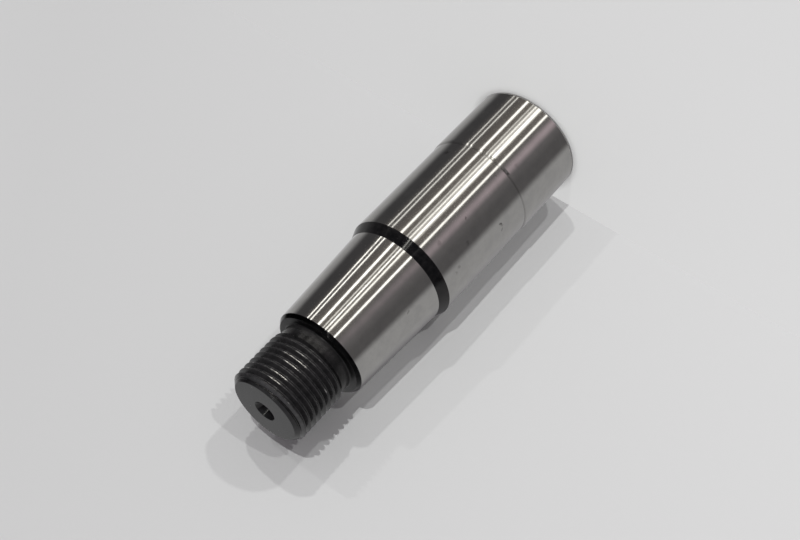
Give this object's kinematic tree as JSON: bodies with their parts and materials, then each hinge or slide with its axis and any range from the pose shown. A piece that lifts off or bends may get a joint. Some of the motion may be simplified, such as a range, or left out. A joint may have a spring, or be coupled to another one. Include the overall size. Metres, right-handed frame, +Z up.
{
  "type": "turned taper pin",
  "caption": "Turned steel shaft pin with stepped ground seats, a slow taper, a relief groove and a threaded end.",
  "frame": {"origin": "centre of the big end's face, which the pin stands on", "axes": "+Z up the turning axis from the big end to the threaded end; X and Y are square to it"},
  "size_m": [0.0344, 0.0344, 0.118],
  "materials": {
    "pin": "ground bright on the seats and the taper, blackened elsewhere"
  },
  "bodies": {
    "root": {"turned_pin": "pin"}
  },
  "joints": []
}
